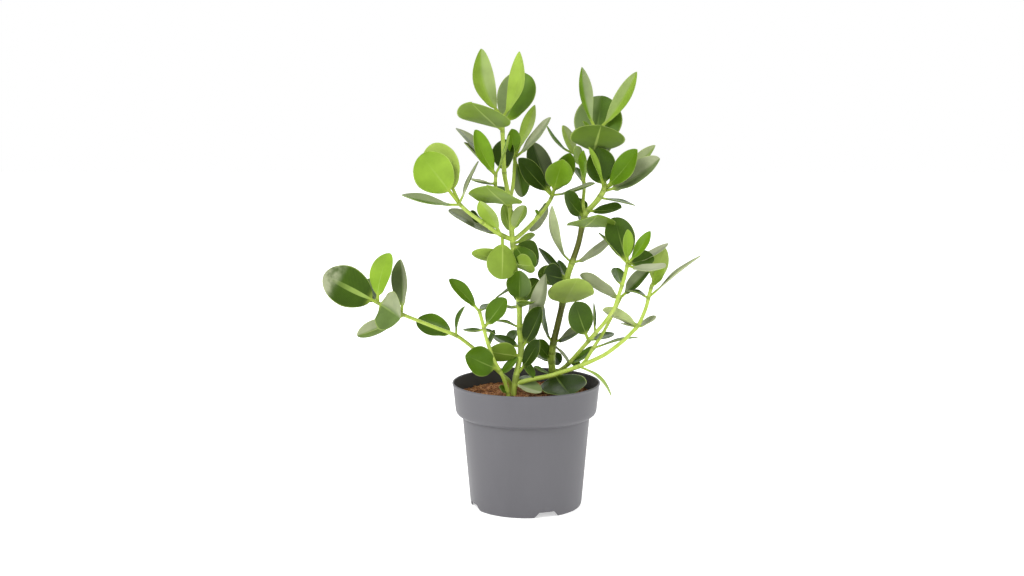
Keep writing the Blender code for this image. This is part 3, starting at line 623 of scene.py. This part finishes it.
class Tree(Nodes):
    """A Geometry Nodes tree with named inputs, applied to one object and then baked."""

    def __init__(self, name, sizes):
        super().__init__(bpy.data.node_groups.new(name, "GeometryNodeTree"))
        face = self.tree.interface
        for way in ("INPUT", "OUTPUT"):
            face.new_socket("Geometry", in_out=way, socket_type="NodeSocketGeometry")
        for key, value in sizes.items():
            kind = "NodeSocketInt" if isinstance(value, int) else "NodeSocketFloat"
            face.new_socket(key, in_out="INPUT", socket_type=kind).default_value = value
        self.given = self.tree.nodes.new("NodeGroupInput").outputs
        self.end = self.tree.nodes.new("NodeGroupOutput")

    def random(self, kind, low, high, seed):
        """Random value for each point, a float or a vector."""
        made = self.add("FunctionNodeRandomValue", data_type=kind)
        shown = [s for s in made.inputs if s.enabled]
        shown[0].default_value = low
        shown[1].default_value = high
        made.inputs["Seed"].default_value = seed
        return next(s for s in made.outputs if s.enabled)

    def finish_with(self, geometry, finish):
        """Ends the tree in Realize Instances and Set Material."""
        real = self.add("GeometryNodeRealizeInstances", {"Geometry": geometry})
        dressed = self.add("GeometryNodeSetMaterial",
                           {"Geometry": real.outputs[0], "Material": finish})
        self.tree.links.new(dressed.outputs[0], self.end.inputs[0])

    def strew(self, thing, spin, scale, finish):
        """Ends the tree in copies of a thing at random places on the given mesh."""
        spots = self.add("GeometryNodeDistributePointsOnFaces", {
            "Mesh": self.given["Geometry"], "Density": self.given["Density"],
            "Seed": self.given["Seed"]})
        turned = self.add("FunctionNodeEulerToRotation", {0: spin})
        strewn = self.add("GeometryNodeInstanceOnPoints", {
            "Points": spots.outputs["Points"], "Instance": thing,
            "Rotation": turned.outputs[0], "Scale": scale})
        self.finish_with(strewn.outputs[0], finish)

    def bake(self, source, name):
        """The tree's result on the source mesh, as a plain mesh object."""
        carrier = add_object(name, source)
        carrier.modifiers.new("Shape", "NODES").node_group = self.tree
        settled(carrier).name = name
        return carrier


def stem_tree(finish):
    """Round stems along their routes, thicker at each joint where a pair of leaves springs."""
    made = Tree("Round stem", {"Sides": 14, "Joint swelling": 0.16})
    line = made.add("GeometryNodeMeshToCurve", {"Mesh": made.given["Geometry"]})
    girth, joint = (
        made.add("GeometryNodeInputNamedAttribute", {"Name": name}, data_type="FLOAT").outputs[0]
        for name in ("girth", "joint"))
    swelling = made.times(joint, made.given["Joint swelling"])
    radius = made.times(girth, made.sums("ADD", swelling, 1.0))
    ring = made.add("GeometryNodeCurvePrimitiveCircle",
                    {"Resolution": made.given["Sides"], "Radius": 1.0})
    tube = made.add("GeometryNodeCurveToMesh", {
        "Curve": line.outputs[0], "Profile Curve": ring.outputs[0], "Scale": radius,
        "Fill Caps": True})
    made.finish_with(tube.outputs[0], finish)
    return made


def fibre_tree(finish):
    """Bent coco fibres strewn over the peat."""
    made = Tree("Coco fibres", {"Density": 46000.0, "Fibre radius": 0.00026, "Seed": 5})
    bend = made.add("GeometryNodeCurveQuadraticBezier", {
        "Resolution": 5, "Start": (-0.0035, 0, 0), "Middle": (0.0004, 0.0016, 0.0009),
        "End": (0.0035, -0.0003, 0.0001)})
    ring = made.add("GeometryNodeCurvePrimitiveCircle",
                    {"Resolution": 4, "Radius": made.given["Fibre radius"]})
    fibre = made.add("GeometryNodeCurveToMesh", {
        "Curve": bend.outputs[0], "Profile Curve": ring.outputs[0], "Fill Caps": True})
    spin = made.random("FLOAT_VECTOR", (-0.55, -0.4, 0.0), (0.55, 0.4, 6.283), 3)
    grow = made.random("FLOAT", 0.35, 1.35, 8)
    made.strew(fibre.outputs[0], spin, grow, finish)
    return made


def crumb_tree(finish):
    """Small lumps of peat, each squashed and turned its own way."""
    made = Tree("Peat crumbs", {"Density": 62000.0, "Crumb radius": 0.0012, "Seed": 11})
    ball = made.add("GeometryNodeMeshIcoSphere",
                    {"Radius": made.given["Crumb radius"], "Subdivisions": 2})
    rough = made.add("ShaderNodeTexNoise", {"Scale": 900.0, "Detail": 1.0})
    spread = made.add("ShaderNodeVectorMath", {0: rough.outputs["Color"], 1: (0.5, 0.5, 0.5)},
                      operation="SUBTRACT")
    push = made.add("ShaderNodeVectorMath", {0: spread.outputs[0], "Scale": 0.0012},
                    operation="SCALE")
    lump = made.add("GeometryNodeSetPosition", {
        "Geometry": ball.outputs["Mesh"], "Offset": push.outputs[0]})
    spin = made.random("FLOAT_VECTOR", (0.0, 0.0, 0.0), (6.283, 6.283, 6.283), 2)
    squash = made.random("FLOAT_VECTOR", (0.35, 0.35, 0.3), (1.5, 1.2, 0.9), 6)
    made.strew(lump.outputs[0], spin, squash, finish)
    return made


# Leaves

def spline(points, step):
    """Even walk along a smooth curve through the points."""
    ends = [points[0] * 2 - points[1]] + points + [points[-1] * 2 - points[-2]]
    walk = []
    for a, b, c, d in zip(ends, ends[1:], ends[2:], ends[3:]):
        parts = max(1, round((c - b).length / step))
        for i in range(parts):
            t = i / parts
            bend = (b * 2 + (c - a) * t + (a * 2 - b * 5 + c * 4 - d) * t ** 2
                    + (b * 3 - a - c * 3 + d) * t ** 3)
            walk.append(bend * 0.5)
    return walk + [points[-1]]


def stem_path(one, planted):
    points = [seen(*place) for place in one["route"]]
    if not planted:
        return spline(points, STEM_STEP)
    root = points[0].copy()
    root.z = SOIL_TOP - STEM_DEPTH + STEM_SLACK
    points[0].z = SOIL_TOP
    return spline([root] + points, STEM_STEP)


def node_at(path, up):
    """Point of the stem that the eye sees at this height, and the way the stem grows there."""
    for low, high in zip(path, path[1:]):
        a, b = seen_height(low), seen_height(high)
        if a <= up <= b:
            share = (up - a) / (b - a)
            return low.lerp(high, share), (high - low).normalized()
    return path[-1], (path[-1] - path[-2]).normalized()


def upper_face(base, tip, grow, turn):
    """Direction that the leaf's upper face looks in."""
    axis = (tip - base).normalized()
    if turn is None:
        return (grow - axis * grow.dot(axis)).normalized()
    to_eye = EYE - base
    to_eye = (to_eye - axis * to_eye.dot(axis)).normalized()
    across = axis.cross(to_eye)
    if across.dot(grow) < 0:
        across.negate()
    angle = math.radians(turn)
    return to_eye * math.cos(angle) + across * math.sin(angle)


def leaf_form(row, base, grow, wobble):
    """The leaf's own directions and bends, in metres and radians."""
    tip = seen(*row["tip"])
    length = (tip - base).length
    axis = (tip - base) / length
    face = upper_face(base, tip, grow, row["turn"])
    return {
        "base": base, "length": length, "axis": axis, "face": face, "side": axis.cross(face),
        "width": row["width"] * MM, "stalk": row["stalk"], "bow": row["bow"] * length,
        "fold": math.radians(row["fold"] + wobble.uniform(-4, 4)),
        "arch": (row["arch"] + wobble.uniform(-0.015, 0.02)) * length,
    }


def half_widths(form, blade):
    """Half the leaf's width at these shares of its blade. Wide blades end rounder."""
    roundness = (form["width"] / form["length"] - SLIM_ASPECT) / (ROUND_ASPECT - SLIM_ASPECT)
    roundness = min(1.0, max(0.0, roundness))
    skew = SLIM_SKEW + (ROUND_SKEW - SLIM_SKEW) * roundness
    blunt = SLIM_BLUNT + (ROUND_BLUNT - SLIM_BLUNT) * roundness
    bulge = np.maximum(0.0, np.sin(np.pi * np.clip(blade, 0, 1) ** skew)) ** blunt
    half = form["width"] / 2 * bulge
    stalk_half = STALK_HALF * (1 - STALK_TAPER * np.clip(blade, 0, 1))
    least = np.where(blade > 0.5, TIP_HALF, stalk_half)
    return np.where(blade <= 0, STALK_HALF, np.maximum(half, least))


def section_places():
    """Places round a blade's section: over the upper face, then back along the lower one."""
    over = [-a for a in LEAF_ACROSS[:0:-1]] + list(LEAF_ACROSS)
    across = [-1.0] + over + [1.0] + over[::-1]
    under = [0.5] + [0.0] * len(over) + [0.5] + [1.0] * len(over)
    return np.array(across), np.array(under)


def leaf_shell(form, waves):
    """Points of one thick blade with its stalk: rings round the section, from base to tip."""
    across, under = section_places()
    even = (1 - np.cos(np.pi * np.linspace(0, 1, LEAF_STATIONS))) / 2
    share = np.concatenate([[0.0, form["stalk"] * 0.5],
                            form["stalk"] + (1 - form["stalk"]) * even])
    blade = (share - form["stalk"]) / (1 - form["stalk"])
    half = half_widths(form, blade)[:, None]
    flat = np.clip(blade / STALK_BLEND, 0, 1)[:, None]
    flat = flat * flat * (3 - 2 * flat)
    along = np.clip(blade, 0, 1)[:, None]
    a = across[None, :]
    s = share[:, None]
    thick = np.minimum(STALK_THICK + (BLADE_THICK - STALK_THICK) * flat, half * 1.5)
    rounding = (1 - np.abs(a) ** (2 + 5 * flat)) ** 0.5
    side_of = 1 - 2 * under[None, :]
    rib = np.exp(-(a * half / RIB_SPREAD) ** 2) * (1 - along)
    lift_rib = np.where(under[None, :] > 0.6, -RIB_RISE * rib * flat, -RIB_GROOVE * rib * flat)
    lift = 4 * s * (1 - s)
    edge_turns, edge_start, blade_turns, blade_start = waves
    edge = np.sin(2 * np.pi * (edge_turns * s + edge_start))
    wave = EDGE_WAVE * form["width"] * a * np.abs(a) * edge
    wave += BLADE_WAVE * form["width"] * a * a * np.sin(2 * np.pi * (blade_turns * s + blade_start))
    raised = half * math.sin(form["fold"]) * np.abs(a) ** 1.8 + wave
    up = form["arch"] * lift + raised * flat + side_of * thick / 2 * rounding + lift_rib
    out = form["bow"] * lift + half * (1 - (1 - math.cos(form["fold"])) * flat) * a
    base, axis, face, side = (np.array(form[key]) for key in ("base", "axis", "face", "side"))
    points = (base + axis * (form["length"] * s)[..., None] + face * up[..., None]
              + side * out[..., None])
    ones = np.ones_like(points[..., 0])
    layers = {
        "across": a * ones, "under": under[None, :] * ones, "along": along * ones,
        "stalk": (1 - np.clip(blade / 0.10, 0, 1))[:, None] * ones,
    }
    return points, layers


def leafy_meshes(name, shoots, wobble, wobble_free):
    """Mesh of all the leaves of a planted stem, and the routes of its shoots.

    wobble draws the bends that the frame's leaves have too, wobble_free what is only seen here.
    """
    points, faces, routes, count = [], [], [], 0
    layers = {}
    for i, one in enumerate(shoots):
        path = stem_path(one, i == 0)
        joints = []
        for row in one["leaves"]:
            base, grow = node_at(path, row["up"])
            joints.append(base)
            form = leaf_form(row, base, grow, wobble)
            waves = (wobble_free.uniform(0.8, 1.6), wobble_free.random(),
                     wobble_free.uniform(1.5, 2.6), wobble_free.random())
            shell, own = leaf_shell(form, waves)
            rings, places = shell.shape[:2]
            index = np.arange(rings * places).reshape(rings, places) + count
            after = np.roll(index, -1, axis=1)
            quads = np.stack([index[:-1], after[:-1], after[1:], index[1:]], -1).reshape(-1, 4)
            faces += quads.tolist() + [index[0, ::-1].tolist(), index[-1].tolist()]
            points.append(shell.reshape(-1, 3))
            for key in ("tone", "bloom", "rib"):
                own[key] = np.full((rings, places), row[key])
            own["own"] = np.full((rings, places), wobble_free.random())
            for key, values in own.items():
                layers.setdefault(key, []).append(values.ravel())
            count += rings * places
        routes.append((one["girth"], path, joints))
    layers = {key: np.concatenate(values) for key, values in layers.items()}
    return smooth_mesh(name, np.concatenate(points), faces, layers), routes


def bark_at(place, stretches):
    """How far a stem has turned to bark at this place, from the heights where it has."""
    up = seen_height(place)
    return max((min(1.0, max(0.0, min(up - low, high - up) / BARK_FADE + 0.5))
                for low, high in stretches), default=0.0)


def route_mesh(name, routes, stretches):
    """Bare lines of the shoots, with their girth, joints and bark at each point."""
    points, edges, girths, joint, bark = [], [], [], [], []
    for shoot_number, ((thick, thin), path, joints) in enumerate(routes):
        for i, place in enumerate(path):
            if i:
                edges.append((len(points) - 1, len(points)))
            points.append(place)
            girths.append((thick + (thin - thick) * i / (len(path) - 1)) * MM)
            near = min((place - j).length for j in joints)
            joint.append(math.exp(-(near / JOINT_REACH) ** 2))
            bark.append(0.0 if shoot_number else bark_at(place, stretches))
    mesh = bpy.data.meshes.new(name)
    mesh.from_pydata([tuple(p) for p in points], edges, [])
    for key, values in (("girth", girths), ("joint", joint), ("bark", bark)):
        store(mesh, key, values)
    return mesh


# Pot and soil

def body_radius(height):
    """Outer radius of the tapered body."""
    top = POT_HEIGHT - COLLAR_HEIGHT - SHOULDER
    share = (height - FOOT_BAND) / (top - FOOT_BAND)
    return BODY_FOOT_RADIUS + (BODY_TOP_RADIUS - BODY_FOOT_RADIUS) * share


def collar_radius(height):
    """Outer radius of the rim band."""
    foot = POT_HEIGHT - COLLAR_HEIGHT
    share = (height - foot) / (COLLAR_HEIGHT - LIP_BAND)
    return COLLAR_FOOT_RADIUS + (RIM_RADIUS - 0.0009 - COLLAR_FOOT_RADIUS) * share


def pot_profile():
    """Section of the pot as radius and height, in three runs: inside, lip and outside."""
    foot = POT_HEIGHT - COLLAR_HEIGHT
    low = FLOOR_RISE + WALL
    band = COLLAR_FOOT_RADIUS
    base = body_radius(0.0)
    lip_foot = collar_radius(POT_HEIGHT - LIP_BAND)
    inside = [
        (0.0, WALL), (PAD_RADIUS - 0.001, WALL), (PAD_RADIUS + 0.0035, low),
        (body_radius(low) - WALL, low), (body_radius(foot - 0.0075) - WALL, foot - 0.0075),
        (band - 0.0060, foot - 0.0035), (band - 0.0024, foot - 0.0008),
        (band - WALL, foot + 0.0028), (lip_foot - WALL, POT_HEIGHT - LIP_BAND)]
    lip = [(RIM_RADIUS - 0.0021, POT_HEIGHT - 0.0008), (RIM_RADIUS - 0.0011, POT_HEIGHT),
           (RIM_RADIUS - 0.0002, POT_HEIGHT - 0.0006), (RIM_RADIUS, POT_HEIGHT - 0.0018),
           (lip_foot, POT_HEIGHT - 0.0032)]
    outside = [
        (band, foot + 0.0012), (band - 0.0006, foot - 0.0018), (band - 0.0024, foot - 0.0042),
        (band - 0.0054, foot - 0.0058), (body_radius(foot - 0.0068) - 0.0004, foot - 0.0067),
        (body_radius(foot - 0.0082), foot - 0.0082), (body_radius(FOOT_BAND), FOOT_BAND),
        (body_radius(0.0026) - 0.0002, 0.0026), (base - 0.0008, 0.0007), (base - 0.0018, 0.0),
        (base - 0.0028, 0.0), (body_radius(FLOOR_RISE) - WALL, FLOOR_RISE),
        (PAD_RADIUS + 0.0044, FLOOR_RISE), (PAD_RADIUS, 0.0), (0.0, 0.0)]
    return inside, lip, outside


def softened(points, rounds, most=0.0012):
    """Cuts every corner of a line in each round, by no more than a length that halves."""
    for _ in range(rounds):
        cut = [points[0]]
        for a, b in zip(points, points[1:]):
            a, b = Vector(a), Vector(b)
            reach = min(0.25 * (b - a).length, most)
            step = (b - a).normalized() * reach
            cut += [tuple(a + step), tuple(b - step)]
        points = cut + [points[-1]]
        most /= 2
    return points


def notch_cutter(azimuth):
    """Trapezoid block across the foot ring, wide at the bottom."""
    shape = bmesh.new()
    bmesh.ops.create_cube(shape, size=1.0)
    slope = (NOTCH_TOP_WIDTH - NOTCH_WIDTH) / NOTCH_HEIGHT
    for vert in shape.verts:
        high = NOTCH_HEIGHT if vert.co.z > 0 else -CUT_SLACK
        width = NOTCH_WIDTH + slope * high
        vert.co = Vector((NOTCH_RING + NOTCH_DEPTH * vert.co.x, width * vert.co.y, high))
    cutter = add_object("notch", mesh_from("notch", shape))
    cutter.rotation_euler.z = azimuth
    return cutter


def drain_cutter(azimuth):
    """Upright cylinder through the pot's floor."""
    shape = bmesh.new()
    bmesh.ops.create_cone(shape, cap_ends=True, segments=20, radius1=DRAIN_RADIUS,
                          radius2=DRAIN_RADIUS, depth=WALL + 2 * CUT_SLACK)
    cutter = add_object("drain", mesh_from("drain", shape))
    cutter.location = (math.cos(azimuth) * DRAIN_RING, math.sin(azimuth) * DRAIN_RING,
                       FLOOR_RISE + WALL / 2)
    return cutter


def make_pot():
    """Pot turned from its section, with notches in its foot ring and holes in its floor."""
    inside, lip, outside = pot_profile()
    line = softened(inside + lip + outside, 2)
    lip_height = POT_HEIGHT - 0.0012
    inner_points = next(i for i, p in enumerate(line) if p[1] > lip_height)
    turns = [i * math.tau / POT_STEPS for i in range(POT_STEPS)]
    shape = bmesh.new()
    rings = []
    for radius, height in line:
        if radius < 1e-6:
            rings.append([shape.verts.new((0, 0, height))])
            continue
        rings.append([shape.verts.new((radius * math.cos(t), radius * math.sin(t), height))
                      for t in turns])
    for k, (near, far) in enumerate(zip(rings, rings[1:])):
        for i in range(POT_STEPS):
            j = (i + 1) % POT_STEPS
            corners = [near[i % len(near)], near[j % len(near)], far[j % len(far)],
                       far[i % len(far)]]
            kept = [v for n, v in enumerate(corners) if v not in corners[:n]]
            shape.faces.new(kept).material_index = int(k < inner_points)
    bmesh.ops.recalc_face_normals(shape, faces=shape.faces)
    mesh = mesh_from("pot_shell", shape)
    mesh.materials.append(plastic_material("grey_plastic", *GREY_PLASTIC))
    mesh.materials.append(plastic_material("charcoal_plastic", *CHARCOAL_PLASTIC))
    pot = add_object("pot_shell", mesh)
    cutters = [make(NOTCH_AZIMUTH + i * math.tau / count)
               for make, count in ((notch_cutter, NOTCH_COUNT), (drain_cutter, DRAIN_COUNT))
               for i in range(count)]
    for cutter in cutters:
        cut = pot.modifiers.new("Cut", "BOOLEAN")
        cut.operation = "DIFFERENCE"
        cut.object = cutter
    shell = settled(pot)
    for cutter in cutters:
        bpy.data.objects.remove(cutter)
    shell.set_sharp_from_angle(angle=SHARP_ANGLE)
    return pot


def soil_height(x, y):
    """Height of the peat: a low mound with lumps and small hollows."""
    radius = math.hypot(x, y)
    share = min(1.0, radius / SOIL_RADIUS)
    mound = SOIL_TOP - (SOIL_TOP - SOIL_EDGE) * share ** 2.2
    place = Vector((x, y, 0.0))
    return mound + sum(high * noise.noise(place * close + Vector(start))
                       for high, close, start in LUMPS)


def make_soil():
    """Peat mound, closed below, with fibres and crumbs strewn over it."""
    points = [(0.0, 0.0, soil_height(0.0, 0.0))]
    for k in range(1, SOIL_RINGS + 1):
        radius = SOIL_RADIUS * k / SOIL_RINGS
        for i in range(SOIL_STEPS):
            angle = (i + 0.5 * (k % 2)) * math.tau / SOIL_STEPS
            x, y = radius * math.cos(angle), radius * math.sin(angle)
            points.append((x, y, soil_height(x, y)))
    foot = len(points)
    points += [(x * SOIL_TAPER, y * SOIL_TAPER, SOIL_EDGE - SOIL_SKIRT)
               for x, y, _ in points[-SOIL_STEPS:]]
    faces = [(0, 1 + i, 1 + (i + 1) % SOIL_STEPS) for i in range(SOIL_STEPS)]
    for near in range(1, foot, SOIL_STEPS):
        far = near + SOIL_STEPS
        for i in range(SOIL_STEPS):
            j = (i + 1) % SOIL_STEPS
            faces.append((near + i, far + i, far + j, near + j))
    faces.append(tuple(reversed(range(foot, foot + SOIL_STEPS))))
    mesh = smooth_mesh("peat_mound", points, faces)
    finish = peat_material("coco_peat", *PEAT_SHADES)
    mesh.materials.append(finish)
    mound = add_object("peat_mound", mesh)
    top = smooth_mesh("peat_top", points[:foot], faces[:SOIL_RINGS * SOIL_STEPS])
    pale = peat_material("coco_fibre", *FIBRE_SHADES)
    strewn = [fibre_tree(pale).bake(top.copy(), "coco_fibres"),
              crumb_tree(finish).bake(top.copy(), "peat_crumbs")]
    for piece in strewn:
        keep_in_pot(piece.data)
    bpy.data.meshes.remove(top)
    return [mound] + strewn


def keep_in_pot(mesh):
    """Pulls points that reach past the inside of the rim back onto it."""
    places = np.empty(len(mesh.vertices) * 3)
    mesh.vertices.foreach_get("co", places)
    places = places.reshape(-1, 3)
    radius = np.hypot(places[:, 0], places[:, 1])
    inner = SOIL_RADIUS + (places[:, 2] - SOIL_EDGE) * WALL_FLARE
    pull = np.minimum(1.0, inner / np.maximum(radius, 1e-9))
    places[:, :2] *= pull[:, None]
    mesh.vertices.foreach_set("co", places.ravel())
    mesh.update()


# Stage

def soft_box(name, place, size, watts):
    """Wide lamp that faces the middle of the plant."""
    lamp = bpy.data.lights.new(name, "AREA")
    lamp.shape = "RECTANGLE"
    lamp.size, lamp.size_y = size
    lamp.energy = watts
    thing = add_object(name, lamp)
    thing.location = place
    thing.rotation_euler = (PLANT_MIDDLE - Vector(place)).to_track_quat("-Z", "Y").to_euler()


def make_stage():
    """Pale floor, pale surroundings, soft boxes and the camera."""
    mesh = bpy.data.meshes.new("floor")
    reach = 6.0
    mesh.from_pydata([(-reach, -reach, 0), (reach, -reach, 0), (reach, reach, 0),
                      (-reach, reach, 0)], [], [(0, 1, 2, 3)])
    floor = add_object("floor", mesh)
    made = Finish("pale_floor")
    for key, value in (("Base Color", (0.93, 0.93, 0.93, 1.0)), ("Roughness", 0.9),
                       ("Specular IOR Level", 0.0), ("Emission Color", (1.0, 1.0, 1.0, 1.0)),
                       ("Emission Strength", 0.5)):
        made.surface[key].default_value = value
    mesh.materials.append(made.material)
    world = bpy.data.worlds.new("studio")
    world.use_nodes = True
    background = world.node_tree.nodes["Background"].inputs
    background["Color"].default_value = (1.0, 1.0, 1.0, 1.0)
    background["Strength"].default_value = 1.0
    bpy.context.scene.world = world
    soft_box("key", (-1.3, -1.7, 1.9), (0.9, 0.9), 34.0)
    soft_box("fill", (1.9, -1.1, 0.9), (1.2, 1.2), 1.0)
    soft_box("rim", (0.5, 1.6, 1.6), (1.2, 0.8), 12.0)
    view = bpy.data.cameras.new("camera")
    view.lens = LENS
    view.sensor_width = 36.0
    camera = add_object("camera", view)
    camera.location = EYE
    camera.rotation_euler = (EYE_TILT, 0.0, 0.0)
    bpy.context.scene.camera = camera
    bpy.context.scene.view_settings.view_transform = "Standard"


# The whole plant

wobble = random.Random(SEED)
wobble_free = random.Random(SEED + 1)
leaf_finish = waxy_leaf_material()
round_stem = stem_tree(stem_material())
for node, shoots in PLANT.items():
    own_name = node.removeprefix("stem_")
    mesh, routes = leafy_meshes(own_name + "_leaves", shoots, wobble, wobble_free)
    mesh.materials.append(leaf_finish)
    leaves = add_object(own_name + "_leaves", mesh)
    stems = round_stem.bake(route_mesh(own_name + "_stems", routes, BARK_HEIGHTS.get(node, ())),
                            own_name + "_stems")
    for piece in (leaves, stems):
        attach(piece, "root")
        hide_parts(node)

pot_piece = make_pot()
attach(pot_piece, "root")
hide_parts("pot")
for piece in make_soil():
    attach(piece, "root")
    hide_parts("soil")

make_stage()
